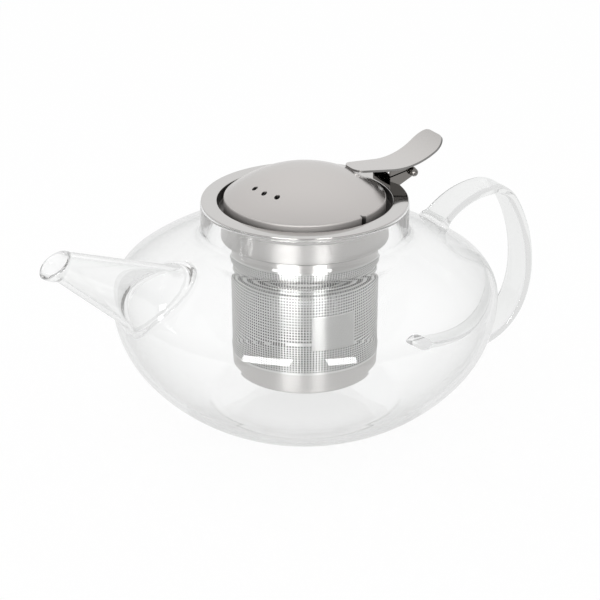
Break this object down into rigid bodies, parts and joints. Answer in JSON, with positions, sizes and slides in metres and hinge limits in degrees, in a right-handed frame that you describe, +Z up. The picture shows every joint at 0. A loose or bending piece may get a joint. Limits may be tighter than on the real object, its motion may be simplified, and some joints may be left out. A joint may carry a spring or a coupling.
{
  "type": "glass infuser teapot",
  "caption": "Round clear glass teapot with a slanted glass spout, a strap handle, a lift-out perforated steel infuser and a hinged domed lid with a thumb lever.",
  "frame": {"origin": "centre of the flat base, on the plane the pot rests on", "axes": "+Z up, +X towards the handle and the lid's hinge, spout towards -X, hinge pin along Y"},
  "size_m": [0.2174, 0.152, 0.1045],
  "materials": {
    "clear_glass": "gloss",
    "satin_steel": "satin",
    "bright_steel": "polished"
  },
  "bodies": {
    "pot": {"pot_body": "clear_glass", "spout": "clear_glass", "handle": "clear_glass"},
    "infuser": {"infuser_ring": "satin_steel", "infuser_collar": "bright_steel", "strainer_tube": "bright_steel", "strainer_cup": "bright_steel", "hinge_bracket": "bright_steel", "hinge_pin": "bright_steel"},
    "lid_unit": {"lid": "satin_steel", "thumb_lever": "satin_steel", "hinge_barrel": "bright_steel"}
  },
  "joints": [
    {"name": "infuser_lift", "type": "slide", "parent": "pot", "child": "infuser", "axis": [0, 0, 1], "range_m": [0, 0.08]},
    {"name": "lid_hinge", "type": "hinge", "parent": "infuser", "child": "lid_unit", "pos_m": [0.0452, 0, 0.0926], "axis": [0, 1, 0], "range_deg": [0, 90]}
  ]
}
